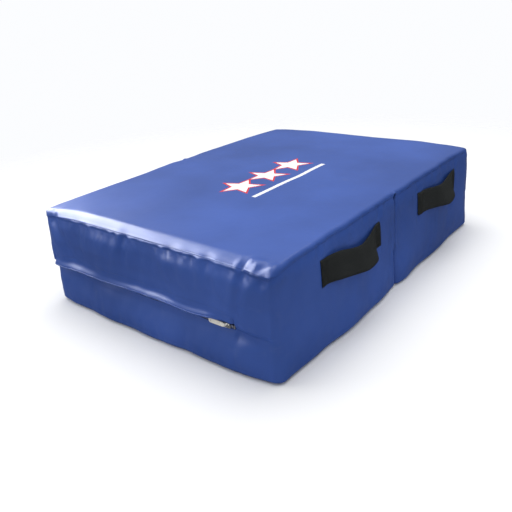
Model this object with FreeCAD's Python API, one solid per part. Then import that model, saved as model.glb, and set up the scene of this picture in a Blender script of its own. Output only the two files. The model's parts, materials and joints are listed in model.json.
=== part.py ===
import FreeCAD, Part

import math
import os

# A two-fold crash landing mat: two foam blocks in one cover of coated fabric.
# Frame: +Z up, X across the width, Y along the length, in millimetres.
# Origin: middle of the footprint, on the floor. The halves meet at y = 0.
# The near half is modelled; the far half is the same half turned 180 degrees about Z.

# ---- overall size
LENGTH = 1220.0
WIDTH = 915.0
HEIGHT = 313.0

# ---- cover
FABRIC = 1.2            # thickness of a cover panel
FOLD_GAP = 4.0          # from the fold line to the face of each half's divider
SKIRT = 21.0            # how far the top panel wraps down over each end
HINGE_STRIP = 3.0       # width of the strip that joins the halves under the top

# ---- foam
TOP_LAYER = 50.0        # firm foam glued over the soft core
FOAM_SIDE_CLEARANCE = 0.5
FOAM_END_CLEARANCE = 6.0    # leaves room for the back of the zip slider

# ---- zip across each end, with the closed end at +U
ZIP_HEIGHT = 130.0      # height of the zip's line
ZIP_OPEN_END = -430.0
ZIP_CLOSED_END = 322.0
ZIP_MOUTH = 9.0         # half of the slot between the end panels
TAPE_THICKNESS = 1.0
TAPE_EDGE = 17.0        # outer edge of each tape from the zip's line
CHAIN_INNER = 1.2       # inner edge of each row of teeth from the zip's line
CHAIN_OUTER = 3.8
CHAIN_PROUD = 1.4       # teeth stand this far out of the cover's face
STOP_LENGTH = 4.0

SLIDER_AT = 298.0       # middle of the slider when the zip is closed
SLIDER_LENGTH = 20.0
SLIDER_HALF_WIDTH = 6.5
SLIDER_PLATE = 1.8
SLIDER_FRONT = 2.0      # inner face of the front plate, out from the cover
SLIDER_BACK = -3.6      # inner face of the back plate
NECK_HALF_WIDTH = 0.9
NECK_LENGTH = 4.0
CROWN_HALF_WIDTH = 1.5
CROWN_LEGS = (-5.0, 3.0)    # outer faces of the crown's two legs along the zip
CROWN_LEG = 1.6
CROWN_TOP = 8.6
PULL_AXIS_OUT = 5.5     # the pull's pivot, out from the cover's face

PULL_LENGTH = 62.0
PULL_HALF_WIDTH = 6.6
PULL_NECK_HALF_WIDTH = 4.2
PULL_THICKNESS = 1.6
PULL_SLOT_HALF_WIDTH = 2.2
PULL_SLOT_REACH = 7.0
PULL_PIN_RADIUS = 0.6
PULL_HEEL = 1.1         # the arms run this far past the pivot
PULL_HOLE_RADIUS = 2.0

# ---- flap over the zip, sewn along its top edge
FLAP_TOP = 38.0         # above the zip's line
FLAP_HEM = 10.0
FLAP_TOP_OUT = 0.4      # out from the cover's face
FLAP_HEM_OUT = 9.0
FLAP_HEM_THICKNESS = 4.0
FLAP_HEM_HEIGHT = 12.0

# ---- carry handles of flat webbing
WEBBING_WIDTH = 76.0
WEBBING = 2.4
HANDLE_TOP = 270.0      # top edge of the sewn ends
HANDLE_LENGTH = 310.0
HANDLE_END = 30.0       # length of each sewn end
HANDLE_BOW = 26.0       # the slack loop stands off the side by this much
HANDLE_DROP = 32.0      # and its middle hangs lower than its ends by this much
HANDLE_STATIONS = 9
HANDLE_GAP = 0.4        # clearance round the moving loop
HANDLE_CENTRES = {"right": -273.0, "left": -299.0}

HALF_WIDTH = WIDTH / 2
END = -LENGTH / 2


def block(x, y, z):
    """A box from its spans along X, Y and Z."""
    low = FreeCAD.Vector(x[0], y[0], z[0])
    return Part.makeBox(x[1] - x[0], y[1] - y[0], z[1] - z[0], low)


def prism(points, direction):
    """A solid swept from a closed polygon of 3-D points."""
    wire = Part.makePolygon([FreeCAD.Vector(*p) for p in points + points[:1]])
    return Part.Face(wire).extrude(FreeCAD.Vector(*direction))


def turned(shape):
    """The same piece on the other half of the mat."""
    copy = shape.copy()
    copy.rotate(FreeCAD.Vector(0, 0, 0), FreeCAD.Vector(0, 0, 1), 180)
    return copy


def along_zip(shape):
    """From the zip's own frame (U along it, -Y out, Z across it) to the near end."""
    placed = shape.copy()
    placed.translate(FreeCAD.Vector(0, END, ZIP_HEIGHT))
    return placed


def zip_block(u, out, across):
    """A box in the zip's own frame; out is measured away from the cover's face."""
    return block(u, (-out[1], -out[0]), across)


# ---- foam
def foam_blocks():
    x = HALF_WIDTH - FABRIC - FOAM_SIDE_CLEARANCE
    y = (END + FOAM_END_CLEARANCE, -FOLD_GAP - FABRIC - FOAM_SIDE_CLEARANCE)
    top = HEIGHT - FABRIC
    core = block((-x, x), y, (FABRIC, top - TOP_LAYER))
    layer = block((-x, x), y, (top - TOP_LAYER, top))
    return {"foam_core": core, "foam_top_layer": layer}


# ---- cover
def end_panel(above):
    """One end panel, cut back along the zip so that the slider can run."""
    side = 1 if above else -1
    far_edge = HEIGHT - SKIRT if above else FABRIC
    mouth = [(-HALF_WIDTH, 0), (ZIP_OPEN_END - STOP_LENGTH, 0), (ZIP_OPEN_END - STOP_LENGTH, ZIP_MOUTH),
             (ZIP_CLOSED_END + STOP_LENGTH, ZIP_MOUTH), (ZIP_CLOSED_END + STOP_LENGTH, 0), (HALF_WIDTH, 0)]
    outline = [(x, END, ZIP_HEIGHT + side * rise) for x, rise in mouth]
    outline += [(HALF_WIDTH, END, far_edge), (-HALF_WIDTH, END, far_edge)]
    return prism(outline, (0, FABRIC, 0))


def cover():
    x = (-HALF_WIDTH, HALF_WIDTH)
    y = (END, -FOLD_GAP)
    inner_z = (FABRIC, HEIGHT - FABRIC)
    inner_y = (END + FABRIC, -FOLD_GAP - FABRIC)
    flat_top = block(x, y, (HEIGHT - FABRIC, HEIGHT))
    skirt = block(x, (END, END + FABRIC), (HEIGHT - SKIRT, HEIGHT - FABRIC))
    return {
        "top_panel": flat_top.fuse(skirt).removeSplitter(),
        "bottom_panel": block(x, y, (0, FABRIC)),
        "divider_panel": block(x, (-FOLD_GAP - FABRIC, -FOLD_GAP), inner_z),
        "side_panel_right": block((HALF_WIDTH - FABRIC, HALF_WIDTH), inner_y, inner_z),
        "side_panel_left": block((-HALF_WIDTH, FABRIC - HALF_WIDTH), inner_y, inner_z),
        "end_panel_upper": end_panel(above=True),
        "end_panel_lower": end_panel(above=False),
    }


def fold_hinge():
    """The strip of cover that joins the two halves along the top."""
    half = HINGE_STRIP / 2
    return block((-HALF_WIDTH, HALF_WIDTH), (-half, half), (HEIGHT - 1.0, HEIGHT))


# ---- zip
def zip_tape(above):
    across = (CHAIN_INNER, TAPE_EDGE) if above else (-TAPE_EDGE, -CHAIN_INNER)
    return along_zip(zip_block((ZIP_OPEN_END, ZIP_CLOSED_END), (-FABRIC - TAPE_THICKNESS, -FABRIC), across))


def zip_chain():
    rows = []
    for across in ((CHAIN_INNER, CHAIN_OUTER), (-CHAIN_OUTER, -CHAIN_INNER)):
        span = (ZIP_OPEN_END + STOP_LENGTH, ZIP_CLOSED_END - STOP_LENGTH)
        rows.append(along_zip(zip_block(span, (-FABRIC, CHAIN_PROUD), across)))
    return Part.makeCompound(rows)


def zip_stops():
    stops = []
    for start in (ZIP_OPEN_END, ZIP_CLOSED_END - STOP_LENGTH):
        across = (-CHAIN_OUTER - 0.6, CHAIN_OUTER + 0.6)
        stops.append(along_zip(zip_block((start, start + STOP_LENGTH), (-FABRIC, CHAIN_PROUD + 0.4), across)))
    return Part.makeCompound(stops)


def slider():
    """Front and back plates joined by a neck between the rows of teeth, and a crown for the pull."""
    half = SLIDER_LENGTH / 2
    across = (-SLIDER_HALF_WIDTH, SLIDER_HALF_WIDTH)
    front_top = SLIDER_FRONT + SLIDER_PLATE
    front = zip_block((-half, half), (SLIDER_FRONT, front_top), across)
    back = zip_block((-half, half), (SLIDER_BACK - SLIDER_PLATE, SLIDER_BACK), across)
    front = front.makeFillet(2.5, [e for e in front.Edges if abs(e.tangentAt(e.FirstParameter).y) > 0.9])
    back = back.makeFillet(2.5, [e for e in back.Edges if abs(e.tangentAt(e.FirstParameter).y) > 0.9])
    neck = zip_block((half - NECK_LENGTH, half), (SLIDER_BACK - 0.1, SLIDER_FRONT + 0.1),
                     (-NECK_HALF_WIDTH, NECK_HALF_WIDTH))
    narrow = (-CROWN_HALF_WIDTH, CROWN_HALF_WIDTH)
    crown = zip_block(CROWN_LEGS, (front_top - 0.1, CROWN_TOP), narrow)
    window = zip_block((CROWN_LEGS[0] + CROWN_LEG, CROWN_LEGS[1] - CROWN_LEG),
                       (front_top, CROWN_TOP - CROWN_LEG), narrow)
    body = front.fuse([back, neck, crown]).cut(window).removeSplitter()
    body.translate(FreeCAD.Vector(SLIDER_AT, 0, 0))
    return along_zip(body)


def pull_tab():
    """A flat tab with a pin that turns inside the crown and a hole at its tip."""
    tip = -PULL_LENGTH
    wide_from = -PULL_SLOT_REACH - 8.0
    out = -PULL_AXIS_OUT - PULL_THICKNESS / 2
    corner = 3.0
    outline = [(PULL_HEEL, -PULL_NECK_HALF_WIDTH), (PULL_HEEL, PULL_NECK_HALF_WIDTH),
               (-PULL_SLOT_REACH, PULL_NECK_HALF_WIDTH), (wide_from, PULL_HALF_WIDTH),
               (tip + corner, PULL_HALF_WIDTH), (tip, PULL_HALF_WIDTH - corner),
               (tip, corner - PULL_HALF_WIDTH), (tip + corner, -PULL_HALF_WIDTH),
               (wide_from, -PULL_HALF_WIDTH), (-PULL_SLOT_REACH, -PULL_NECK_HALF_WIDTH)]
    plate = prism([(u, out, v) for u, v in outline], (0, PULL_THICKNESS, 0))
    slot = block((-PULL_SLOT_REACH, 2.0), (out - 1, out + PULL_THICKNESS + 1),
                 (-PULL_SLOT_HALF_WIDTH, PULL_SLOT_HALF_WIDTH))
    hole = Part.makeCylinder(PULL_HOLE_RADIUS, 10, FreeCAD.Vector(tip + 6, -PULL_AXIS_OUT - 5, 0),
                             FreeCAD.Vector(0, 1, 0))
    pin = Part.makeCylinder(PULL_PIN_RADIUS, 2 * PULL_SLOT_HALF_WIDTH + 1,
                            FreeCAD.Vector(0, -PULL_AXIS_OUT, -PULL_SLOT_HALF_WIDTH - 0.5),
                            FreeCAD.Vector(0, 0, 1))
    tab = plate.cut([slot, hole]).fuse(pin).removeSplitter()
    tab.translate(FreeCAD.Vector(SLIDER_AT, 0, 0))
    return along_zip(tab)


def zip_flap():
    """A strip that hangs from its seam, stands off over the zip and ends in a thicker hem."""
    drop = FLAP_TOP - FLAP_HEM
    lean = (FLAP_HEM_OUT - FLAP_TOP_OUT) / drop
    hem_top_out = FLAP_HEM_OUT - lean * FLAP_HEM_HEIGHT
    profile = [(FLAP_TOP_OUT, FLAP_TOP), (FLAP_TOP_OUT + FABRIC, FLAP_TOP),
               (hem_top_out + FABRIC, FLAP_HEM + FLAP_HEM_HEIGHT),
               (hem_top_out + FLAP_HEM_THICKNESS, FLAP_HEM + FLAP_HEM_HEIGHT - 2.0),
               (FLAP_HEM_OUT + FLAP_HEM_THICKNESS, FLAP_HEM + 2.0),
               (FLAP_HEM_OUT + FLAP_HEM_THICKNESS - 2.0, FLAP_HEM), (FLAP_HEM_OUT, FLAP_HEM)]
    outline = [(ZIP_OPEN_END, -out, up) for out, up in profile]
    return along_zip(prism(outline, (ZIP_CLOSED_END - ZIP_OPEN_END, 0, 0)))


# ---- handles, on the side at +X; the left one is mirrored
def handle_ends(centre):
    """The two ends of the webbing, sewn flat to the side of the cover."""
    outer = HANDLE_LENGTH / 2
    inner = outer - HANDLE_END
    z = (HANDLE_TOP - WEBBING_WIDTH, HANDLE_TOP)
    x = (HALF_WIDTH, HALF_WIDTH + WEBBING)
    spans = ((centre - outer, centre - inner), (centre + inner, centre + outer))
    return Part.makeCompound([block(x, y, z) for y in spans])


def handle_loop(centre):
    """The free part of the webbing: it bows out from the side and hangs slack."""
    reach = HANDLE_LENGTH / 2 - HANDLE_END - HANDLE_GAP
    sections = []
    for i in range(HANDLE_STATIONS):
        s = i / (HANDLE_STATIONS - 1)
        sag = math.sin(math.pi * s)
        x = HALF_WIDTH + HANDLE_GAP + HANDLE_BOW * sag ** 0.8
        y = centre - reach + 2 * reach * s
        z = HANDLE_TOP - HANDLE_DROP * sag
        corners = [(x, y, z), (x + WEBBING, y, z), (x + WEBBING, y, z - WEBBING_WIDTH), (x, y, z - WEBBING_WIDTH)]
        sections.append(Part.makePolygon([FreeCAD.Vector(*c) for c in corners + corners[:1]]))
    return Part.makeLoft(sections, True, True)


def handles():
    right = {"handle_ends_right": handle_ends(HANDLE_CENTRES["right"]),
             "handle_loop_right": handle_loop(HANDLE_CENTRES["right"])}
    mirror = FreeCAD.Vector(1, 0, 0)
    origin = FreeCAD.Vector(0, 0, 0)
    left = {"handle_ends_left": handle_ends(HANDLE_CENTRES["left"]).mirror(origin, mirror),
            "handle_loop_left": handle_loop(HANDLE_CENTRES["left"]).mirror(origin, mirror)}
    return {**right, **left}


def half_mat():
    """Every piece of the near half, by its name without the half's name."""
    pieces = {**foam_blocks(), **cover(), **handles()}
    pieces["zip_tape_upper"] = zip_tape(above=True)
    pieces["zip_tape_lower"] = zip_tape(above=False)
    pieces["zip_chain"] = zip_chain()
    pieces["zip_stops"] = zip_stops()
    pieces["zip_slider"] = slider()
    pieces["zip_pull_tab"] = pull_tab()
    pieces["zip_flap"] = zip_flap()
    return pieces


def other_side(name):
    """Turning a half about Z swaps its right and left."""
    if "right" in name:
        return name.replace("right", "left")
    return name.replace("left", "right")


def main():
    os.makedirs("parts", exist_ok=True)
    parts = {"fold_hinge": fold_hinge()}
    for name, shape in half_mat().items():
        parts[name + "_near"] = shape
        parts[other_side(name) + "_far"] = turned(shape)
    for name, shape in sorted(parts.items()):
        if not shape.isValid():
            raise ValueError(name + " is not a valid solid")
        shape.exportStep("parts/" + name + ".step")
        print(f"{name:28s} solids {len(shape.Solids)} volume {shape.Volume:12.1f}")


main()
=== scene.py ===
import json
import math

import bpy
import numpy as np
from mathutils import Matrix, Vector, bvhtree, kdtree


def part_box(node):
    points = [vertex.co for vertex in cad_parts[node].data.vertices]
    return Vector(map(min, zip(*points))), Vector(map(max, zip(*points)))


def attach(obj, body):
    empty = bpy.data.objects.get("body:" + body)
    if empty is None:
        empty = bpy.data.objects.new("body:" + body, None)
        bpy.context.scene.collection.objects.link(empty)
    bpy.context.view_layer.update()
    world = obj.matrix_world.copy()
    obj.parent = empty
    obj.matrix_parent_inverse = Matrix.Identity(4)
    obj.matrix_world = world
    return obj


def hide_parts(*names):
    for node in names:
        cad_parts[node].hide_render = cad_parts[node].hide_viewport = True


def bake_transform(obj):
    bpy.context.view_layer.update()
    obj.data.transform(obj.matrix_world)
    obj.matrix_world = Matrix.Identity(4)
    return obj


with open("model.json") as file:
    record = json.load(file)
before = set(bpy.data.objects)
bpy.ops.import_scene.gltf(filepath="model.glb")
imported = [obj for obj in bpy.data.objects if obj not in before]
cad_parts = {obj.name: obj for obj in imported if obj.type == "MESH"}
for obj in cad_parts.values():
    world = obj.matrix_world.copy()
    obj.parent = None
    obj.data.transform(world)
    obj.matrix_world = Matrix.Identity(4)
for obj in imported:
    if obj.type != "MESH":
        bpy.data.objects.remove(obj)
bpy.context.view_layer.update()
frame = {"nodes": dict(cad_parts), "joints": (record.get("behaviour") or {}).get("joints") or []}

# A two-fold crash landing mat, in metres: +Z up, X across the width, Y along the length.
# The near half is at -Y. What repeats on the far half is made for the near one and turned about Z.

# ---- sizes read from the frame
TOP_LOW, TOP_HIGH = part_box("top_panel_near")
HALF_WIDTH = TOP_HIGH.x
HALF_LENGTH = -TOP_LOW.y
HEIGHT = TOP_HIGH.z
SEAM = TOP_LOW.z
FLAP_LOW, FLAP_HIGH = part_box("zip_flap_near")
JOINTS = {j["name"]: j for j in frame["joints"]}
ZIP_START = FLAP_LOW.x + 0.001
ZIP_END = FLAP_HIGH.x - 0.001
PULL_PIVOT = Vector(JOINTS["pull_swing_near"]["pos_m"])
ZIP_HEIGHT = PULL_PIVOT.z
SLIDER_ALONG = PULL_PIVOT.x
FLAP_SEAM_RISE = 0.038

# ---- cover
FABRIC = 0.0012
ZIP_MOUTH = 0.009
ROLL = (0.016, 0.036, 0.034)        # reach of the rounding along X, Y and Z at the top edges
SIDE_SKIRT = 0.013                  # how far the top sheet comes down the long sides
FINE, COARSE = 0.0045, 0.014        # spacing of the grid near edges and on open surfaces


# ======================================================================== number helpers
def ease(t):
    t = np.clip(t, 0.0, 1.0)
    return t * t * (3 - 2 * t)


def hill(v, centre, width):
    return np.exp(-(((v - centre) / width) ** 2))


def waves(u, v, length, seed, count=7):
    """A smooth uneven field of about unit height over a surface, from plane waves of one rough length."""
    rng = np.random.default_rng(seed)
    total = np.zeros(np.broadcast(u, v).shape)
    for _ in range(count):
        angle, phase = rng.uniform(0, 2 * math.pi, 2)
        k = 2 * math.pi / (length * rng.uniform(0.7, 1.5))
        total = total + np.sin(k * (np.cos(angle) * u + np.sin(angle) * v) + phase)
    return total / math.sqrt(count / 2)


def graded(low, high, fine=FINE, coarse=COARSE, margin=0.06):
    """Grid lines from low to high, close together within margin of each end."""
    edge = np.arange(0, margin, fine)
    middle = np.linspace(low + margin, high - margin, max(2, int((high - low - 2 * margin) / coarse)))
    return np.concatenate([low + edge, middle, high - edge[::-1]])


# ======================================================================== mesh helpers
def new_object(name, vertices, faces, material=None, uv=None):
    mesh = bpy.data.meshes.new(name)
    mesh.from_pydata(np.asarray(vertices).tolist(), [], [list(f) for f in faces])
    mesh.update()
    if uv is not None:
        layer = mesh.uv_layers.new(name="flat")
        loops = np.zeros(len(mesh.loops), np.int32)
        mesh.loops.foreach_get("vertex_index", loops)
        layer.data.foreach_set("uv", np.asarray(uv, np.float32)[loops].ravel())
    obj = bpy.data.objects.new(name, mesh)
    bpy.context.scene.collection.objects.link(obj)
    mesh.shade_smooth()
    if material:
        mesh.materials.append(material)
    return obj


def points_of(obj):
    co = np.zeros(len(obj.data.vertices) * 3, np.float32)
    obj.data.vertices.foreach_get("co", co)
    return co.reshape(-1, 3).astype(float)


def apply_stack(obj):
    """Makes the object's modifiers part of its mesh."""
    graph = bpy.context.evaluated_depsgraph_get()
    mesh = bpy.data.meshes.new_from_object(obj.evaluated_get(graph))
    obj.modifiers.clear()
    old = obj.data
    obj.data = mesh
    bpy.data.meshes.remove(old)
    return obj


def solidify(obj, thickness, offset=-1.0):
    mod = obj.modifiers.new("wall", "SOLIDIFY")
    mod.thickness = thickness
    mod.offset = offset
    return apply_stack(obj)


def turned(points):
    """Half a turn about Z: from the near half to the far one."""
    return np.asarray(points) * (-1, -1, 1)


def box_skin(lines, left_out=()):
    """Vertices and outward quads of a box's surface on grid lines along X, Y and Z."""
    keys, vertices, faces = {}, [], []

    def vertex(i, j, k):
        key = (i, j, k)
        if key not in keys:
            keys[key] = len(vertices)
            vertices.append((lines[0][i], lines[1][j], lines[2][k]))
        return keys[key]

    last = [len(line) - 1 for line in lines]
    for axis in range(3):
        a, b = [(1, 2), (2, 0), (0, 1)][axis]
        for end in (0, 1):
            if (axis, end) in left_out:
                continue
            for i in range(last[a]):
                for j in range(last[b]):
                    ring = [(i, j), (i + 1, j), (i + 1, j + 1), (i, j + 1)]
                    if end == 0:
                        ring.reverse()
                    quad = []
                    for p, q in ring:
                        at = [0, 0, 0]
                        at[axis], at[a], at[b] = last[axis] * end, p, q
                        quad.append(vertex(*at))
                    faces.append(quad)
    return np.array(vertices), faces


def rounded(points, low, high, reach):
    """Rounds a box's edges. reach is how far the rounding goes along each axis, one row per point."""
    inner = np.clip(points, low + reach, high - reach)
    way = (points - inner) / reach
    size = np.linalg.norm(way, axis=1, keepdims=True)
    size[size < 1e-9] = 1.0
    unit = way / size
    normal = unit / reach
    normal /= np.maximum(np.linalg.norm(normal, axis=1, keepdims=True), 1e-9)
    on_edge = np.count_nonzero(np.abs(way) > 1e-9, axis=1) > 1
    moved = np.where(on_edge[:, None], inner + reach * unit, points)
    return moved, normal


def lofted(sections, closed=True, caps=True):
    """Vertices and faces through rows of points: each row is a ring, or an open line if not closed."""
    rows, ring = len(sections), len(sections[0])
    vertices = np.concatenate([np.asarray(s) for s in sections])
    faces = []
    for r in range(rows - 1):
        for i in range(ring if closed else ring - 1):
            j = (i + 1) % ring
            faces.append([r * ring + i, r * ring + j, (r + 1) * ring + j, (r + 1) * ring + i])
    if caps and closed:
        faces.append(list(range(ring))[::-1])
        faces.append([(rows - 1) * ring + i for i in range(ring)])
    return vertices, faces


# ======================================================================== shader helpers
class Value:
    """A shader socket that takes part in plain arithmetic."""

    def __init__(self, shader, socket):
        self.shader, self.socket = shader, socket

    def _math(self, operation, *others):
        return self.shader.math(operation, self, *others)

    def __add__(self, other):
        return self._math("ADD", other)

    def __sub__(self, other):
        return self._math("SUBTRACT", other)

    def __mul__(self, other):
        return self._math("MULTIPLY", other)

    def __truediv__(self, other):
        return self._math("DIVIDE", other)

    def __rsub__(self, other):
        return self.shader.math("SUBTRACT", other, self)

    __radd__ = __add__
    __rmul__ = __mul__

    def less(self, other):
        return self._math("LESS_THAN", other)


class Shader:
    """A material and the few calls that build its nodes."""

    def __init__(self, name, **constants):
        self.material = bpy.data.materials.new(name)
        self.material.use_nodes = True
        self.tree = self.material.node_tree
        self.surface = self.tree.nodes["Principled BSDF"]
        for socket, value in constants.items():
            self.surface.inputs[socket.replace("_", " ")].default_value = value

    def node(self, kind, settings=None, inputs=None, output=0):
        made = self.tree.nodes.new(kind)
        for key, value in (settings or {}).items():
            setattr(made, key, value)
        for key, value in (inputs or {}).items():
            if isinstance(value, Value):
                self.tree.links.new(value.socket, made.inputs[key])
            else:
                made.inputs[key].default_value = value
        return Value(self, made.outputs[output])

    def math(self, operation, *values):
        return self.node("ShaderNodeMath", {"operation": operation}, dict(enumerate(values)))

    def place(self, source="Object"):
        return self.node("ShaderNodeTexCoord", output=source)

    def own_uv(self, name):
        return self.node("ShaderNodeUVMap", {"uv_map": name})

    def parts(self, vector):
        split = self.node("ShaderNodeSeparateXYZ", inputs={0: vector}).socket.node
        return [Value(self, split.outputs[i]) for i in range(3)]

    def noise(self, at, scale, detail=3.0, roughness=0.5):
        inputs = {"Vector": at, "Scale": scale, "Detail": detail, "Roughness": roughness}
        return self.node("ShaderNodeTexNoise", inputs=inputs)

    def mix(self, share, a, b):
        inputs = {0: share, 6: a, 7: b}
        return self.node("ShaderNodeMix", {"data_type": "RGBA"}, inputs, output=2)

    def ramp(self, value, low, high):
        """0 below low, 1 above high."""
        inputs = {0: value, 1: low, 2: high}
        return self.node("ShaderNodeMapRange", {"clamp": True}, inputs)

    def bump(self, height, distance, strength=1.0, under=None):
        inputs = {"Height": height, "Distance": distance, "Strength": strength}
        if under is not None:
            inputs["Normal"] = under
        return self.node("ShaderNodeBump", inputs=inputs)

    def feed(self, **sockets):
        for socket, value in sockets.items():
            self.tree.links.new(value.socket, self.surface.inputs[socket.replace("_", " ")])
        return self.material


def colour(r, g, b):
    return (r, g, b, 1.0)


# ======================================================================== materials
def coated_fabric(name, blue, print_on=False):
    """Smooth coated fabric with a faint woven backing showing through, soft scuffs and uneven gloss."""
    s = Shader(name, Specular_IOR_Level=0.28)
    at = s.place()
    x, y, z = s.parts(at)
    cloud = s.noise(at, 3.0, 4.0)
    fleck = s.noise(at, 140.0, 2.0)
    deep = colour(*[c * 0.86 for c in blue])
    light = colour(*[min(1.0, c * 1.12 + 0.004) for c in blue])
    base = s.mix(s.ramp(cloud, 0.35, 0.68), deep, light)
    base = s.mix(s.ramp(fleck, 0.55, 0.8) * 0.10, base, colour(*[c * 0.6 for c in blue]))
    scuff_field = s.noise(at, 22.0, 6.0, 0.65)
    low_down = s.ramp(z, 0.05, 0.0)
    scuffs = s.ramp(scuff_field, 0.60, 0.78) * (low_down * 0.5 + 0.10)
    base = s.mix(scuffs, base, colour(0.16, 0.20, 0.34))
    rough = s.noise(at, 9.0, 3.0) * 0.12 + 0.29 + scuffs * 0.25
    if print_on:
        base, ink = printed_mark(s, base)
        rough = rough + ink * 0.05
    weave = 1400.0
    threads = s.math("SINE", x * weave) * s.math("SINE", y * weave) + s.math("SINE", z * weave)
    grain = s.noise(at, 900.0, 2.0)
    fine = s.bump(threads * 0.5 + grain, 0.00006, 0.5)
    soft = s.bump(s.noise(at, 34.0, 3.0), 0.0009, 0.35, under=fine)
    return s.feed(Base_Color=base, Roughness=rough, Normal=soft)


STARS_AT = (-0.005, -0.045)     # middle of the row of stars, as X and Y
STAR_STEP = 0.136
STAR_RADIUS = 0.067
BAR_AT = 0.100
BAR_MIDDLE = -0.050
BAR_HALF = (0.0080, 0.195)
RED_BORDER = 0.006


def printed_mark(s, base):
    """Three plain white stars with a red border over a white bar, printed across the middle of the top."""
    u, v, _ = s.parts(s.own_uv("flat"))
    up = STARS_AT[0] - u
    along = v - STARS_AT[1]
    count = s.math("MINIMUM", s.math("MAXIMUM", s.math("ROUND", along / STAR_STEP), -1.0), 1.0)
    from_star = along - count * STAR_STEP
    angle = s.math("ARCTAN2", from_star, up)
    reach = s.math("SQRT", up * up + from_star * from_star)
    half = math.pi / 5
    turn = s.math("PINGPONG", angle + 10 * half, half)
    notch = 0.44                    # reach of the star's inner corners, as a share of its points'
    edge = Vector((notch * math.cos(half) - 1, notch * math.sin(half)))
    side = Vector((edge.y, -edge.x)).normalized()
    flat = s.math("COSINE", turn) * side.x + s.math("SINE", turn) * side.y
    distance = reach * flat - side.x * STAR_RADIUS
    white_star = distance.less(0.0)
    red_star = distance.less(RED_BORDER)
    bar_along = s.math("ABSOLUTE", v - BAR_MIDDLE).less(BAR_HALF[1])
    bar_across = s.math("ABSOLUTE", u - BAR_AT).less(BAR_HALF[0])
    bar = bar_along * bar_across
    worn = s.ramp(s.noise(s.place(), 60.0, 5.0), 0.70, 0.80) * 0.35
    ink = (1 - worn) * s.math("MAXIMUM", red_star, bar)
    paint = s.mix(s.math("MAXIMUM", white_star, bar), colour(0.60, 0.02, 0.03), colour(0.80, 0.80, 0.82))
    return s.mix(ink, base, paint), ink


def webbing_fabric():
    """Black woven strap: ribs across it and a herringbone between them."""
    s = Shader("black_webbing", Specular_IOR_Level=0.25)
    u, v, _ = s.parts(s.own_uv("flat"))
    along, across = u * 1000.0, v * 1000.0
    rib = s.math("SINE", along * (2 * math.pi / 2.2))
    slant = s.math("SINE", along * 2.9 + s.math("PINGPONG", across, 6.0) * 3.6)
    height = rib * 0.4 + slant * 0.6
    fuzz = s.noise(s.place(), 1500.0, 2.0)
    base = s.mix(s.ramp(height + fuzz, -0.6, 1.4), colour(0.006, 0.007, 0.007), colour(0.030, 0.034, 0.034))
    rough = s.noise(s.place(), 70.0) * 0.1 + 0.78
    return s.feed(Base_Color=base, Roughness=rough, Normal=s.bump(height + fuzz * 0.6, 0.0005, 0.8))


def tape_fabric():
    s = Shader("zip_tape_weave", Specular_IOR_Level=0.2)
    x, _, z = s.parts(s.place())
    rib = s.math("SINE", x * 4200.0) * 0.5 + s.math("SINE", z * 3600.0) * 0.5
    base = s.mix(s.ramp(rib, -1.0, 1.0), colour(0.008, 0.014, 0.06), colour(0.022, 0.04, 0.13))
    rough = s.noise(s.place(), 90.0) * 0.1 + 0.8
    return s.feed(Base_Color=base, Roughness=rough, Normal=s.bump(rib, 0.0003, 0.7))


def teeth_plastic():
    s = Shader("zip_teeth_plastic", Specular_IOR_Level=0.5)
    cloud = s.noise(s.place(), 300.0, 3.0)
    base = s.mix(cloud, colour(0.10, 0.12, 0.20), colour(0.24, 0.26, 0.36))
    return s.feed(Base_Color=base, Roughness=cloud * 0.15 + 0.32)


def cast_metal(name, bright, dull, rough):
    """Plated zinc with fine pits and hairlines."""
    s = Shader(name, Metallic=0.85)
    at = s.place()
    pits = s.noise(at, 900.0, 4.0)
    drawn_out = s.node("ShaderNodeMapping", inputs={"Vector": at, "Scale": (60.0, 900.0, 900.0)})
    streaks = s.noise(drawn_out, 1.0)
    worn = s.ramp(s.noise(at, 220.0, 4.0), 0.4, 0.7)
    base = s.mix(worn, colour(*bright), colour(*dull))
    gloss = streaks * 0.18 + rough
    return s.feed(Base_Color=base, Roughness=gloss, Normal=s.bump(pits + streaks, 0.00008, 0.6))


def enamel():
    """Cream enamel over the pull tab, chipped to metal in places."""
    s = Shader("pull_tab_enamel", Specular_IOR_Level=0.5, Coat_Weight=0.3, Coat_Roughness=0.12)
    at = s.place()
    chips = s.ramp(s.noise(at, 260.0, 5.0, 0.6), 0.66, 0.70)
    tone = s.noise(at, 80.0, 3.0)
    base = s.mix(tone, colour(0.70, 0.66, 0.57), colour(0.84, 0.81, 0.74))
    base = s.mix(chips, base, colour(0.38, 0.37, 0.36))
    rough = chips * 0.2 + tone * 0.1 + 0.22
    steps = s.bump(1 - chips, 0.00015, 0.8)
    return s.feed(Base_Color=base, Roughness=rough, Metallic=chips * 0.9, Normal=steps)


def thread_fibre(name, shade):
    s = Shader(name, Specular_IOR_Level=0.3)
    twist = s.noise(s.place(), 2600.0, 2.0)
    base = s.mix(twist, colour(*[c * 0.6 for c in shade]), colour(*[min(1, c * 1.3) for c in shade]))
    return s.feed(Base_Color=base, Roughness=twist * 0.1 + 0.6)


ROYAL_BLUE = (0.031, 0.082, 0.330)
TOP_FABRIC = coated_fabric("top_fabric", ROYAL_BLUE, print_on=True)
SIDE_FABRIC = coated_fabric("side_fabric", ROYAL_BLUE)
WEBBING = webbing_fabric()
TAPE = tape_fabric()
TEETH = teeth_plastic()
SLIDER_METAL = cast_metal("slider_metal", (0.62, 0.61, 0.58), (0.40, 0.39, 0.37), 0.28)
PULL_ENAMEL = enamel()
BLUE_THREAD = thread_fibre("blue_thread", (0.03, 0.06, 0.22))
BLACK_THREAD = thread_fibre("black_thread", (0.012, 0.012, 0.012))


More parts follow.
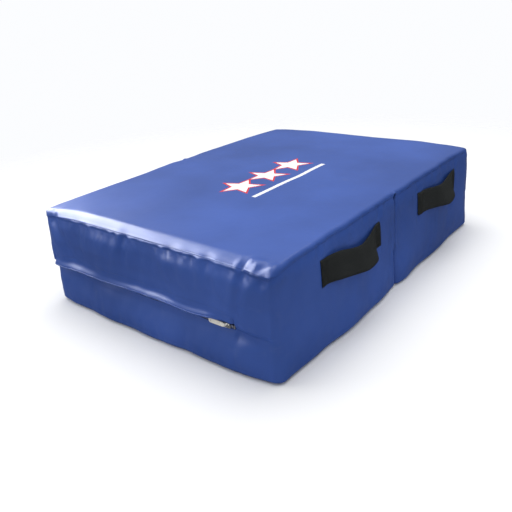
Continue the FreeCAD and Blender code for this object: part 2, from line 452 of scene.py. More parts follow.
# ======================================================================== the cover's shape
# Each field says how far the cover stands out of (or sinks into) the plain rounded box.
# X and Z on an end, Y and Z on a side. The far end is the near one's field turned, with its own seed.
SEEDS = {"near_end": 11, "far_end": 23, "right": 37, "left": 41, "top": 53}
PUCKERS = 17
SHARP_CORNER = np.array([-HALF_WIDTH, -HALF_LENGTH])    # its vertical edge comes to a point
GAP = 0.003                                             # from the fold line to each half's cover

# Creases in the near end: from (x, z) to (x, z), then half width and depth.
END_CREASES = [(0.374, 0.306, 0.336, 0.165, 0.014, 0.0052), (0.338, 0.122, 0.205, 0.030, 0.023, 0.0059),
               (-0.415, 0.295, -0.345, 0.175, 0.019, 0.0047), (-0.285, 0.290, -0.300, 0.185, 0.023, 0.0031),
               (-0.060, 0.296, -0.090, 0.200, 0.020, 0.0034), (0.118, 0.292, 0.150, 0.190, 0.020, 0.0031),
               (0.250, 0.300, 0.262, 0.200, 0.017, 0.0029), (-0.190, 0.105, -0.225, 0.030, 0.029, 0.0029),
               (0.030, 0.100, 0.050, 0.025, 0.032, 0.0026)]
# Creases in the right side: from (y, z) to (y, z).
SIDE_CREASES = [(-0.428, 0.276, -0.420, 0.312, 0.010, 0.0034),
                (-0.116, 0.272, -0.104, 0.306, 0.009, 0.0031),
                (-0.300, 0.165, -0.345, 0.040, 0.035, 0.0039),
                (-0.520, 0.230, -0.505, 0.060, 0.041, 0.0034),
                (-0.190, 0.150, -0.175, 0.040, 0.032, 0.0029), (0.142, 0.186, 0.150, 0.290, 0.010, 0.0029),
                (0.455, 0.200, 0.462, 0.292, 0.010, 0.0029), (0.250, 0.170, 0.235, 0.050, 0.035, 0.0031),
                (0.420, 0.170, 0.400, 0.060, 0.029, 0.0031)]
# Soft swellings of the right side low down: centre along Y, width and height.
SIDE_LOBES = [(-0.240, 0.170, 0.0100), (-0.530, 0.050, 0.0015),
              (0.050, 0.050, 0.0050), (0.345, 0.090, 0.0055)]


def crease(u, v, line):
    """A soft groove along a line, with a low shoulder on each side."""
    u0, v0, u1, v1, width, depth = line
    du, dv = u1 - u0, v1 - v0
    length = math.hypot(du, dv)
    along = ((u - u0) * du + (v - v0) * dv) / length ** 2
    off = ((u - u0) * dv - (v - v0) * du) / length / width
    fade = ease((along + 0.25) / 0.35) * ease((1.3 - along) / 0.6)
    return depth * fade * (0.45 * np.exp(-((np.abs(off) - 1.7) ** 2)) - np.exp(-off ** 2))


def seam_puckers(x, depth, seed):
    """Tucks that the stitching gathers under the top seam: wide at the seam, closing lower down."""
    rng = np.random.default_rng(seed)
    total = np.zeros_like(x)
    for i in range(PUCKERS):
        centre = -HALF_WIDTH + (i + rng.uniform(0.1, 0.9)) * 2 * HALF_WIDTH / PUCKERS
        size = rng.uniform(0.0022, 0.0050)
        width = rng.uniform(0.014, 0.028)
        length = rng.uniform(0.028, 0.080)
        slant = rng.uniform(-0.45, 0.45)
        left = np.clip(1 - depth / length, 0, 1)
        across = np.abs(x - centre - slant * depth) / (width * left + 0.002)
        total -= size * left * np.clip(1 - across, 0, 1) ** 1.3
        total += 0.35 * size * left * np.exp(-((across - 1.35) / 0.4) ** 2)
    return total * ease(depth / 0.003)


def broad_folds(x, z, seed):
    return waves(x, 0.25 * z, 0.15, seed + 1) * 0.0034 + waves(x, 0.5 * z, 0.07, seed + 2) * 0.0008


def end_creases(x, z):
    total = 0 * x
    for line in END_CREASES:
        total = total + crease(x, z, line)
    return total


def upper_panel(x, z, seed):
    """Out from the end face over the zip, as the panel hangs from its seam and runs on into the flap."""
    corner = 1 - np.abs(x / HALF_WIDTH) ** 5
    depth = np.clip(SEAM - z, 0, None)
    out = 0.004 * corner * ease((HEIGHT - z) / 0.03) + 0.0065 * ease(depth / 0.04) * (0.3 + 0.7 * corner)
    out = out - 0.0046 * np.exp(-depth / 0.003) * ease(depth / 0.0005)
    return out + seam_puckers(x, depth, seed) + broad_folds(x, z, seed) * ease(depth / 0.05)


def end_field(x, z, seed):
    """Out from the end face, at x along it and height z."""
    corner = 1 - np.abs(x / HALF_WIDTH) ** 5
    above = z - ZIP_HEIGHT
    in_zip = ease((x - ZIP_START + 0.012) / 0.012) * ease((ZIP_END + 0.012 - x) / 0.012)
    folds = broad_folds(x, z, seed)
    upper = upper_panel(x, z, seed)
    turn_in = ease((0.040 - above) / 0.014) * in_zip
    upper = upper * (1 - turn_in) + 0.0020 * turn_in
    below = np.clip(-above, 0, None)
    base = ease((0.115 - z) / 0.10)
    lower = 0.0015 * ease(below / 0.03) + 0.020 * base * corner
    lower = lower + folds * 0.9 * ease(below / 0.05) * (1 - 0.4 * base)
    share = ease((above + 0.006) / 0.012)
    out = lower * (1 - share) + upper * share
    mouth = ease((ZIP_MOUTH + 0.0035 - np.abs(above)) / 0.0035) * in_zip
    out = out * (1 - mouth) - 0.0036 * mouth
    out = out + end_creases(x, z) * (1 - mouth) * (1 - turn_in)
    past_open_end = ease((0.016 - np.abs(above)) / 0.008) * ease((ZIP_START + 0.030 - x) / 0.030)
    out = out * (1 - past_open_end) - 0.0020 * past_open_end
    return out - 0.0016 * hill(above, 0.0, 0.004) * (1 - in_zip) * ease((x - 0.2) / 0.1)


def side_field(y, z, seed):
    """Out from the right side, at y along it and height z."""
    base = ease((0.12 - z) / 0.10)
    to_fold = hill(y, 0.0, 0.055)
    out = 0.0042 * ease((HEIGHT - z) / 0.06) * (1 - (y / HALF_LENGTH) ** 6) * (1 - 0.5 * to_fold)
    for centre, width, amount in SIDE_LOBES:
        out = out + amount * base * hill(y, centre, width)
    for line in SIDE_CREASES:
        out = out + crease(y, z, line)
    out = out + 0.0022 * hill(y, 0.05, 0.055) * ease((z - 0.22) / 0.05)
    scallops = np.abs(waves(y, 0 * y, 0.10, seed + 3, 4))
    out = out + 0.0022 * (scallops - 0.5) * hill(z, HEIGHT - 0.020, 0.022)
    out = out + waves(y, 0.3 * z, 0.23, seed + 4) * 0.0017
    return out + waves(y, 0.6 * z, 0.08, seed + 5) * 0.0006 * ease((HEIGHT - z) / 0.05)


def side_relief(x, y, z):
    """The same for either side; the left one is the right one after half a turn."""
    return np.where(x > 0, side_field(y, z, SEEDS["right"]), side_field(-y, z, SEEDS["left"]))


def end_relief(x, y, z):
    return np.where(y < 0, end_field(x, z, SEEDS["near_end"]), end_field(-x, z, SEEDS["far_end"]))


def lift(x, y, z):
    """How far the filling raises the cover: most in the middle of the mat, nothing at its corners."""
    across, along = np.abs(x) / HALF_WIDTH, np.abs(y) / HALF_LENGTH
    edge = 0.0105 * (1 - across ** 4 * along ** 4)
    crown = 0.0040 * (1 - np.clip(across, 0, 1) ** 2) * (1 - np.clip(along, 0, 1) ** 2)
    dip = 0.0025 * hill(y, 0.0, 0.060)
    total = edge + crown - dip + waves(x, y, 0.5, SEEDS["top"], 5) * 0.0006
    return total * ease((z - 0.05) / (HEIGHT - 0.06))


def roll_relief(x, y, z):
    """Unevenness of the rolls along the ends, with the crumpled corner at the near right."""
    out = waves(x, 3 * z, 0.11, SEEDS["top"] + 1, 5) * 0.0004
    near = np.where(y < 0, 1.0, 0.0)
    tuck = crease(x, z, (0.366, 0.335, 0.357, 0.285, 0.0065, 0.0050))
    tuck = tuck + crease(x, z, (0.440, 0.330, 0.400, 0.296, 0.0080, 0.0035))
    tuck = tuck + crease(x, z, (-0.425, 0.330, -0.395, 0.290, 0.0090, 0.0014))
    tuck = tuck + 0.0030 * hill(x, 0.405, 0.026) + 0.0030 * hill(x, 0.444, 0.012)
    return out + near * tuck


def smoothed(values, edges, rounds):
    """Values on a mesh's points, evened out along its edges."""
    counts = np.bincount(edges.ravel(), minlength=len(values))
    for _ in range(rounds):
        around = np.bincount(edges[:, 0], values[edges[:, 1]], len(values))
        around += np.bincount(edges[:, 1], values[edges[:, 0]], len(values))
        values = 0.5 * values + 0.5 * around / np.maximum(counts, 1)
    return values


VOXEL = 0.010           # of the coarse half that the cloth is tried on
SLACK = 0.012           # share by which the cloth is wider than the plain half
FILLING_PRESSURE = 4.0
LAST_FRAME = 20
EDGE_HELD = 0.012       # how near an edge the seams hold the cloth
MOST_OUT = 0.0050       # the cap on what the wrinkles may add
BROAD_SHARE, WRINKLE_SHARE = 0.12, 0.9


def simulate_filling():
    """Presses slack cloth out from a plain half held at its seams. Returns a tree of places and their reach."""
    xs = np.linspace(-HALF_WIDTH, HALF_WIDTH, 45)
    ys = np.linspace(-HALF_LENGTH, -GAP, 31)
    vertices, faces = box_skin([xs, ys, np.linspace(0, HEIGHT, 17)])
    low, high = np.array([-HALF_WIDTH, -HALF_LENGTH, 0.0]), np.array([HALF_WIDTH, -GAP, HEIGHT])
    points, _ = rounded(vertices, low, high, np.tile((0.016, 0.016, 0.016), (len(vertices), 1)))
    obj = new_object("filling_trial", points, faces)
    remesh = obj.modifiers.new("remesh", "REMESH")
    remesh.mode = "VOXEL"
    remesh.voxel_size = VOXEL
    apply_stack(obj)
    rest = points_of(obj)
    normal = np.array([v.normal[:] for v in obj.data.vertices])
    edges = np.array([e.vertices[:] for e in obj.data.edges])
    on_end = rest[:, 1] + HALF_LENGTH < EDGE_HELD
    at_corner = on_end & (HALF_WIDTH - np.abs(rest[:, 0]) < EDGE_HELD)
    at_seam = on_end & (rest[:, 2] > SEAM - 0.004)
    at_zip = on_end & (np.abs(rest[:, 2] - ZIP_HEIGHT) < 0.008)
    plain = (rest[:, 2] > HEIGHT - 0.010) | (rest[:, 2] < 0.010) | (rest[:, 1] > -0.020)
    held = np.flatnonzero(at_corner | at_seam | at_zip | plain)
    group = obj.vertex_groups.new(name="held")
    group.add([int(i) for i in held], 1.0, "REPLACE")
    cloth = obj.modifiers.new("filling", "CLOTH")
    how = cloth.settings
    how.quality = 5
    how.mass = 0.2
    how.tension_stiffness = how.compression_stiffness = 12
    how.shear_stiffness = 4
    how.bending_stiffness = 0.3
    how.shrink_min = how.shrink_max = -SLACK
    how.use_pressure = True
    how.uniform_pressure_force = FILLING_PRESSURE
    how.vertex_group_mass = "held"
    how.effector_weights.gravity = 0
    cloth.collision_settings.use_collision = False
    scene = bpy.context.scene
    for frame_number in range(1, LAST_FRAME + 1):
        scene.frame_set(frame_number)
    posed = obj.evaluated_get(bpy.context.evaluated_depsgraph_get()).to_mesh()
    moved_to = np.array([v.co[:] for v in posed.vertices])
    scene.frame_set(1)
    bpy.data.objects.remove(obj, do_unlink=True)
    out = np.sum((moved_to - rest) * normal, axis=1)
    broad = smoothed(out, edges, 50)
    wrinkles = smoothed(out - broad, edges, 2)
    kept = BROAD_SHARE * (broad - np.median(broad)) + WRINKLE_SHARE * wrinkles
    kept = MOST_OUT * np.tanh(kept / MOST_OUT)
    kept[held] = 0.0
    tree = kdtree.KDTree(len(rest))
    for i, co in enumerate(rest):
        tree.insert(co, i)
    tree.balance()
    return tree, kept


FILLING = None          # set once the cloth has been tried, and left empty when the simulation is skipped


def filling(points):
    """How far the simulated cloth stands out at points on either half, nothing by the zip and its flap."""
    if FILLING is None:
        return np.zeros(len(points))
    tree, kept = FILLING
    home = np.where((points[:, 1] > 0)[:, None], points * (-1, -1, 1), points)
    total = np.zeros(len(points))
    for i, place in enumerate(home):
        weight_sum = 0.0
        value = 0.0
        for _, index, distance in tree.find_n(place, 5):
            weight = 1.0 / (distance * distance + 2e-5)
            weight_sum += weight
            value += weight * kept[index]
        total[i] = value / weight_sum
    by_zip = ease((HALF_LENGTH - np.abs(points[:, 1])) / 0.03)
    over_zip = ease((points[:, 2] - ZIP_HEIGHT - 0.066) / 0.020)
    under_zip = ease((ZIP_HEIGHT - 0.014 - points[:, 2]) / 0.020)
    return total * np.clip(by_zip + over_zip + under_zip, 0, 1)


def relief(points, normal):
    """Moves points of the rounded box to the filled cover."""
    x, y, z = points.T
    squares = normal ** 2
    upright = squares[:, 0] * side_relief(x, y, z) + squares[:, 1] * end_relief(x, y, z)
    on_roll = ease((z - SEAM + 0.004) / 0.006) * ease((np.abs(y) - HALF_LENGTH + 0.05) / 0.03)
    upright = upright + on_roll * roll_relief(x, y, z) * (1 - squares[:, 0])
    upright = upright + filling(points) * ease((1 - squares[:, 2]) / 0.6)
    moved_points = points + normal * upright[:, None]
    moved_points[:, 2] += lift(x, y, z)
    return moved_points


def edge_reach(points):
    """How far the rounding reaches along X, Y and Z for each point, less round at the pointed corner."""
    reach = np.tile(np.array(ROLL), (len(points), 1))
    far = np.hypot(*(points[:, :2] - SHARP_CORNER).T)
    return reach * (1 - 0.55 * np.exp(-((far / 0.09) ** 2)))[:, None]


def make_top_cover():
    """The top of the cover: one sheet over both halves that turns down at every edge to its seam."""
    xs = graded(-HALF_WIDTH, HALF_WIDTH, coarse=0.0075)
    half = graded(0.0, HALF_LENGTH, margin=0.07, coarse=0.013)
    half = half[half > 0.012]
    fold_lines = np.array([-0.011, -0.0085, -0.006, -0.0035, -0.001, 0.001, 0.0035, 0.006, 0.0085, 0.011])
    ys = np.concatenate([-half[::-1], fold_lines, half])
    zs = np.linspace(SEAM, HEIGHT, 8)
    vertices, faces = box_skin([xs, ys, zs], left_out=[(2, 0)])
    flat = vertices[:, :2].copy()
    drop = HEIGHT - vertices[:, 2]
    on_side = np.abs(np.abs(vertices[:, 0]) - HALF_WIDTH) < 1e-6
    on_end = np.abs(np.abs(vertices[:, 1]) - HALF_LENGTH) < 1e-6
    flat[:, 0] += np.where(on_side, np.sign(flat[:, 0]) * drop, 0)
    flat[:, 1] += np.where(on_end, np.sign(flat[:, 1]) * drop, 0)
    low = np.array([-HALF_WIDTH, -HALF_LENGTH, -1.0])
    high = np.array([HALF_WIDTH, HALF_LENGTH, HEIGHT])
    points, normal = rounded(vertices, low, high, edge_reach(vertices))
    # the skirt is shorter along the sides, and cut up at the fold
    sideways = ease((np.abs(normal[:, 0]) - 0.2) / 0.5)
    shorten = 1 - (1 - SIDE_SKIRT / (HEIGHT - SEAM)) * sideways
    notch = 1 - 0.8 * hill(points[:, 1], 0, 0.006) * sideways
    points[:, 2] = HEIGHT - (HEIGHT - points[:, 2]) * shorten * notch
    depth = HEIGHT - points[:, 2]
    points = relief(points, normal)
    # along the ends the edge stands proud of the panel under it; along the sides it sinks into it
    edge = ease((depth - 0.012) / 0.009) * (1 - sideways)
    points += normal * (0.0018 * edge - 0.0018 * sideways * ease((depth - 0.003) / 0.010))[:, None]
    obj = new_object("top_cover", points, faces, TOP_FABRIC, uv=flat)
    solidify(obj, FABRIC)
    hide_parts("top_panel_near", "top_panel_far", "fold_hinge")
    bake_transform(obj)
    return obj


def make_cover_half(half):
    """The rest of one half's cover: its sides, end, bottom and divider, filled by the foam."""
    xs = graded(-HALF_WIDTH, HALF_WIDTH, margin=0.05, coarse=0.0055)
    ys = graded(-HALF_LENGTH, -GAP, margin=0.045, coarse=0.008)
    zs = np.concatenate([graded(0.0, ZIP_HEIGHT + 0.045, margin=0.03, coarse=0.006),
                         np.linspace(ZIP_HEIGHT + 0.05, SEAM - 0.066, 8),
                         np.arange(SEAM - 0.06, HEIGHT, 0.004)])
    top = HEIGHT - 0.002
    zs[-1] = top
    vertices, faces = box_skin([xs, ys, zs])
    low = np.array([-HALF_WIDTH, -HALF_LENGTH, 0.0])
    high = np.array([HALF_WIDTH, -GAP, top])
    if half == "far":
        vertices = turned(vertices)
        low, high = np.array([-HALF_WIDTH, GAP, 0.0]), np.array([HALF_WIDTH, HALF_LENGTH, top])
    reach = edge_reach(vertices)
    by_fold = ease((0.10 - np.abs(vertices[:, 1])) / 0.05)
    low_down = ease((HEIGHT / 2 - vertices[:, 2]) / 0.05)
    upright = 0.024 - 0.016 * by_fold + 0.006 * by_fold * low_down
    reach[:, 0] = reach[:, 0] * (1 - low_down) + upright * low_down
    to_side = ease((np.abs(vertices[:, 0]) - HALF_WIDTH + 0.030) / 0.030)
    reach[:, 1] = reach[:, 1] * (1 - low_down) + 0.024 * low_down
    reach[:, 1] = reach[:, 1] * (1 - by_fold) + (0.011 + 0.007 * low_down) * by_fold
    reach[:, 2] = reach[:, 2] * (1 - low_down) * (1 - 0.38 * (1 - to_side)) + 0.014 * low_down
    points, normal = rounded(vertices, low, high, reach)
    inside = np.abs(points[:, 1]) < GAP + 1e-6
    sideways = ease((np.abs(normal[:, 0]) - 0.2) / 0.5)
    under = SEAM + 0.001 + (HEIGHT - SEAM) * sideways
    tucked = ease((points[:, 2] - under) / 0.003)
    from_point = np.hypot(*(points[:, :2] - SHARP_CORNER).T)
    at_point = hill(from_point, 0.0, 0.045) * ease((points[:, 2] - SEAM) / 0.002)
    moved_points = relief(points, normal)
    moved_points -= normal * (0.0024 * tucked + 0.0040 * at_point)[:, None]
    moved_points[inside, 1] = points[inside, 1]
    moved_points[:, 2] = np.maximum(moved_points[:, 2], 0.0)
    obj = new_object("cover_" + half, moved_points, faces, SIDE_FABRIC)
    names = ["bottom_panel", "divider_panel", "side_panel_right", "side_panel_left",
             "end_panel_upper", "end_panel_lower", "foam_core", "foam_top_layer"]
    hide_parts(*[name + "_" + half for name in names])
    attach(obj, half + "_half")
    return obj


# ======================================================================== zip and flap
def end_point(x, out, z):
    """A point on the near end, out from its plane."""
    return np.stack([x, -HALF_LENGTH - out, z], axis=-1)


# The flap's hem along X: the height of its lower edge over the zip's line.
HEM_LINE = [(-0.44, 0.0050), (-0.35, 0.0030), (-0.26, 0.0050), (-0.16, 0.0080), (-0.07, 0.0100),
            (0.045, 0.0120), (0.18, 0.0095), (0.23, 0.0115), (0.30, 0.0165), (0.335, 0.0160)]


FLAP_TUCK = 0.022           # how far the flap runs on inside the panel over its seam
HEM_OFF_PANEL = 0.0085      # how far the hem stands out of the panel over it
HEM_OFF_END = 0.0170        # and at least this far out of the end, clear of the slider
HEM_BEAD = 0.0040           # radius of the turned hem


def make_flap(half):
    """The flap over the zip: the upper panel runs on into it, and its hem is turned under in a roll."""
    xs = np.linspace(ZIP_START, ZIP_END + 0.010, 200)
    seed = SEEDS[half + "_end"]
    ripple = waves(xs, 0 * xs, 0.22, seed + 6) * 0.0005 + waves(xs, 0 * xs, 0.045, seed + 7) * 0.0001
    top_z = ZIP_HEIGHT + FLAP_SEAM_RISE + FLAP_TUCK + 0 * xs
    low_z = ZIP_HEIGHT + np.interp(xs, *zip(*HEM_LINE)) + waves(xs, 0 * xs, 0.2, seed + 8) * 0.0004
    closed_end = ease((xs[-1] - xs) / 0.012)
    over = upper_panel(xs, ZIP_HEIGHT + 0.052, seed) + end_creases(xs, ZIP_HEIGHT + 0.052)
    over = 0.45 * over + 0.55 * over.mean()
    low_out = np.maximum(over + HEM_OFF_PANEL, HEM_OFF_END) + ripple - 0.010 * (1 - closed_end)
    low_out = low_out - 0.0070 * hill(xs, SLIDER_ALONG, 0.055)
    # the outer face starts inside the panel, comes level with it, then flares out over the hem
    outline = [(0.00, 0.0, -0.0032), (0.12, 0.0, -0.0016), (0.22, 0.0, -0.0007), (0.32, 0.0, -0.0002),
               (0.40, 0.0, 0.0001), (0.48, 0.04, 0.0), (0.56, 0.14, -0.0006), (0.64, 0.32, -0.0008),
               (0.72, 0.54, -0.0002), (0.80, 0.76, 0.0006), (0.87, 0.93, 0.0008), (0.92, 1.0, 0.0004)]
    outer, inner = [], []
    for down, outward, swell in outline:
        z = top_z * (1 - down) + low_z * down
        panel = upper_panel(xs, z, seed) + end_creases(xs, z)
        out = panel * (1 - outward) + low_out * outward + swell
        outer.append(end_point(xs, out, z))
        inner.append(end_point(xs, out - FABRIC - 0.0004, z - 0.0004))
    roll = []
    for angle in np.linspace(math.radians(35), math.radians(-200), 12):
        out = low_out - HEM_BEAD * 0.75 + HEM_BEAD * math.cos(angle)
        roll.append(end_point(xs, out, low_z + HEM_BEAD + HEM_BEAD * math.sin(angle)))
    sections = np.stack(outer + roll + inner[::-1], axis=1)
    if half == "far":
        sections = turned(sections)
    vertices, faces = lofted(list(sections))
    obj = new_object("zip_flap_cloth_" + half, vertices, faces, SIDE_FABRIC)
    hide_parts("zip_flap_" + half)
    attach(obj, "flap_" + half)
    return obj


def from_zip(points, half):
    """From the zip's own frame, with X along it and -Y out of the cover, to its place on the mat."""
    placed = np.asarray(points) + (0, -HALF_LENGTH, ZIP_HEIGHT)
    return turned(placed) if half == "far" else placed


def make_tapes(half):
    """The two woven tapes that carry the teeth."""
    us = np.linspace(ZIP_START, ZIP_END, 120)
    for name, side in (("upper", 1), ("lower", -1)):
        rows = []
        for v in (0.0012, 0.004, 0.009, 0.0165):
            wave = waves(us, 0 * us + v, 0.09, 60 + side, 4) * 0.0002
            behind = -(-0.0022 + wave - 0.0004 * (v > 0.005))
            rows.append(np.stack([us, behind, 0 * us + side * v], axis=-1))
        grid = rows if side > 0 else rows[::-1]
        vertices, faces = lofted([np.array(r) for r in grid], closed=False, caps=False)
        faces = [f[::-1] for f in faces]
        obj = new_object(f"zip_tape_weave_{name}_{half}", from_zip(vertices, half), faces, TAPE)
        solidify(obj, 0.0009, offset=0.0)
        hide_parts(f"zip_tape_{name}_{half}")
        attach(obj, half + "_half")


TOOTH_PITCH = 0.0028


def make_teeth(half):
    """Two rows of moulded teeth that mesh along the zip's line."""
    start, end = ZIP_START + 0.005, ZIP_END - 0.005
    # one tooth: a root on the tape and a head that reaches over the line
    root, head, tip = 0.0040, 0.0009, -0.0004
    outline = [(root, 0.0007), (0.0024, 0.0007), (0.0018, 0.00045), (head, 0.0009), (tip, 0.0007)]
    ring = [(v, w) for v, w in outline] + [(v, -w) for v, w in outline[::-1]]
    tooth = []
    for out in (-0.0014, 0.0010, 0.0014):
        squeeze = 0.78 if out > 0.0012 else 1.0
        tooth.append(np.array([(w * squeeze, -out, 0.0018 + (v - 0.0018) * squeeze) for v, w in ring]))
    shape, shape_faces = lofted(tooth)
    shape_faces = [f[::-1] for f in shape_faces]
    vertices, faces = [], []
    count = int((end - start) / TOOTH_PITCH)
    for side in (1, -1):
        for i in range(count):
            u = start + (i + (0.5 if side < 0 else 0.0)) * TOOTH_PITCH
            offset = len(vertices) * len(shape)
            vertices.append(shape * (1, 1, side) + (u, 0, 0))
            faces += [[v + offset for v in (f if side > 0 else f[::-1])] for f in shape_faces]
    obj = new_object("zip_teeth_" + half, from_zip(np.concatenate(vertices), half), faces, TEETH)
    obj.data.shade_flat()
    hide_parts("zip_chain_" + half)
    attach(obj, half + "_half")


def finish_zip_metal():
    """Materials for the CAD pieces of the zip."""
    for half in ("near", "far"):
        for node, material in (("zip_slider", SLIDER_METAL), ("zip_stops", SLIDER_METAL),
                               ("zip_pull_tab", PULL_ENAMEL)):
            obj = frame["nodes"][f"{node}_{half}"]
            obj.data.materials.clear()
            obj.data.materials.append(material)


# ======================================================================== carry handles
WEB_WIDTH = 0.076
WEB_THICKNESS = 0.0024
# Where each strap's run turns: Y along the side, how far its top and bottom edges stand off, their heights.
FLAT = 0.0014       # a sewn end's middle over the cover
HANDLE_ROWS = {
    "right_near": [(-0.428, FLAT, FLAT, 0.270, 0.194), (-0.403, FLAT, FLAT, 0.271, 0.195),
                   (-0.350, 0.005, 0.020, 0.268, 0.193), (-0.290, 0.011, 0.022, 0.254, 0.179),
                   (-0.237, 0.010, 0.031, 0.245, 0.172), (-0.190, 0.005, 0.031, 0.251, 0.179),
                   (-0.142, FLAT, FLAT, 0.267, 0.191), (-0.118, FLAT, FLAT, 0.268, 0.192)],
    "right_far": [(0.144, FLAT, FLAT, 0.271, 0.195), (0.190, FLAT, FLAT, 0.272, 0.196),
                  (0.267, 0.009, 0.010, 0.262, 0.186), (0.333, 0.006, 0.034, 0.255, 0.184),
                  (0.385, 0.003, 0.027, 0.265, 0.194), (0.430, FLAT, FLAT, 0.271, 0.195),
                  (0.454, FLAT, FLAT, 0.271, 0.195)],
}


def through(rows, count):
    """A smooth run of rows through the given ones."""
    rows = np.array(rows)
    at = np.concatenate([[0], np.cumsum(np.linalg.norm(np.diff(rows[:, [0, 2, 4]], axis=0), axis=1))])
    slopes = np.gradient(rows, at, axis=0)
    slopes[0] = slopes[-1] = 0
    slopes[:, 0] = np.gradient(rows[:, 0], at)
    out = []
    for t in np.linspace(0, at[-1], count):
        i = min(int(np.searchsorted(at, t, side="right")) - 1, len(rows) - 2)
        h = at[i + 1] - at[i]
        s = (t - at[i]) / h
        a, b = 2 * s ** 3 - 3 * s ** 2 + 1, s ** 3 - 2 * s ** 2 + s
        c, d = -2 * s ** 3 + 3 * s ** 2, s ** 3 - s ** 2
        out.append(a * rows[i] + b * h * slopes[i] + c * rows[i + 1] + d * h * slopes[i + 1])
    return np.array(out)


def strap_mesh(rows, on_left):
    """A flat woven strap through the rows, with slightly cupped edges. Returns its rings and their UVs."""
    y, top_out, low_out, top_z, low_z = rows.T
    across = np.linspace(0, 1, 13)
    free = ease(np.minimum(y - y[0], y[-1] - y) / 0.06)
    grid = []
    for a in across:
        out = low_out * (1 - a) + top_out * a
        z = low_z * (1 - a) + top_z * a
        cover = side_field(y, z, SEEDS["left" if on_left else "right"])
        place = np.stack([HALF_WIDTH + 0 * y, y, z], axis=-1)
        cover = cover + filling(turned(place) if on_left else place)
        cover = cover * (1 - free) + cover.mean() * free
        grid.append(np.stack([HALF_WIDTH + cover + out + 0.0006, y, z], axis=-1))
    grid = np.stack(grid, axis=1)
    centre = grid[:, len(across) // 2]
    along = np.gradient(centre, axis=0)
    along /= np.linalg.norm(along, axis=1, keepdims=True)
    width_way = grid[:, -1] - grid[:, 0]
    width_way /= np.linalg.norm(width_way, axis=1, keepdims=True)
    normal = np.cross(along, width_way)
    normal /= np.linalg.norm(normal, axis=1, keepdims=True)
    cup = (np.abs(2 * across - 1) ** 2.0)[None, :, None] * 0.0022 * free[:, None, None]
    grid = grid + normal[:, None] * cup
    thin = np.sqrt(np.clip(1 - np.abs(2 * across - 1) ** 14, 0.05, 1))[None, :, None]
    outer = grid + normal[:, None] * WEB_THICKNESS / 2 * thin
    inner = grid - normal[:, None] * WEB_THICKNESS / 2 * thin
    rings = np.concatenate([inner, outer[:, ::-1]], axis=1)
    length = np.concatenate([[0], np.cumsum(np.linalg.norm(np.diff(centre, axis=0), axis=1))])
    ring_v = np.concatenate([across, across[::-1]]) * WEB_WIDTH
    uv = np.stack([np.repeat(length, len(ring_v)), np.tile(ring_v, len(length))], axis=-1)
    return rings, uv.reshape(len(length), -1, 2)


def make_handle(name, rows):
    """One handle as two lengths of webbing that meet mid-loop. Returns its sewn ends."""
    sewn_ends = []
    on_left = name.startswith("left")
    smooth = through(rows, 121)
    rings, uv = strap_mesh(smooth, on_left)
    middle = len(smooth) // 2
    for part, chosen in (("first", slice(0, middle + 1)), ("second", slice(middle, None))):
        vertices, faces = lofted(list(rings[chosen]))
        if on_left:
            vertices = turned(vertices)
        strap_uv = uv[chosen].reshape(-1, 2)
        obj = new_object(f"handle_strap_{name}_{part}", vertices, faces, WEBBING, uv=strap_uv)
        end_y, inward = (smooth[0][0], 1) if part == "first" else (smooth[-1][0], -1)
        sewn_ends.append((obj, end_y, inward, on_left))
        if part == "first":
            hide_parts("handle_ends_" + name, "handle_loop_" + name)
        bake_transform(obj)
    return sewn_ends


def make_handles():
    for name, rows in (("right_near", "right_near"), ("right_far", "right_far"),
                       ("left_far", "right_near"), ("left_near", "right_far")):
        sew_handles(make_handle(name, HANDLE_ROWS[rows]))


# ======================================================================== stitching
STITCH_RADIUS = 0.00042
STITCH_SHARE = 0.74         # length of a stitch, as a share of the step from one to the next
ABOVE_CLOTH = 0.00025


def lay_stitches(name, surface, starts, towards, pitch, thread, body):
    """A row of stitches where lines from the starts meet the surface, each a low capsule along the row."""
    tree = bvhtree.BVHTree.FromPolygons([v.co[:] for v in surface.data.vertices],
                                        [p.vertices[:] for p in surface.data.polygons])
    hits = [tree.ray_cast(Vector(start), Vector(towards), 0.2) for start in starts]
    vertices, faces = [], []
    for here, after in zip(hits, hits[1:]):
        if here[0] is None or after[0] is None:
            continue
        along = (after[0] - here[0]).normalized()
        out = here[1].normalized()
        out = out if out.dot(Vector(towards)) < 0 else -out
        across = along.cross(out).normalized()
        middle = (here[0] + after[0]) / 2 + out * ABOVE_CLOTH
        first = len(vertices)
        for share, size in ((-0.5, 0.25), (-0.36, 0.9), (0.36, 0.9), (0.5, 0.25)):
            for k in range(6):
                turn = k * math.pi / 3
                ring = across * math.cos(turn) + out * math.sin(turn)
                place = middle + along * share * pitch * STITCH_SHARE + ring * size * STITCH_RADIUS
                vertices.append(place[:])
        for row in range(3):
            for k in range(6):
                a, b = first + row * 6 + k, first + row * 6 + (k + 1) % 6
                faces.append((a, b, b + 6, a + 6))
        faces.append(tuple(first + k for k in reversed(range(6))))
        faces.append(tuple(first + 18 + k for k in range(6)))
    obj = new_object(name, np.array(vertices), faces, thread)
    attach(obj, body)
    return obj


def lift_at_end(x):
    """How far the filling raises the top seam at x along an end."""
    return float(lift(np.array([x]), np.array([HALF_LENGTH]), np.array([SEAM]))[0])


def sew_top_seams(top_cover):
    """The row that joins the top to each end, just over its lower edge."""
    pitch = 0.006
    for half, side in (("near", -1), ("far", 1)):
        xs = np.arange(-HALF_WIDTH + 0.02, HALF_WIDTH - 0.02, pitch)
        starts = [(x, side * (HALF_LENGTH + 0.1), SEAM + 0.0055 + lift_at_end(x)) for x in xs]
        lay_stitches("seam_stitches_" + half, top_cover, starts, (0, -side, 0), pitch, BLUE_THREAD,
                     half + "_half")


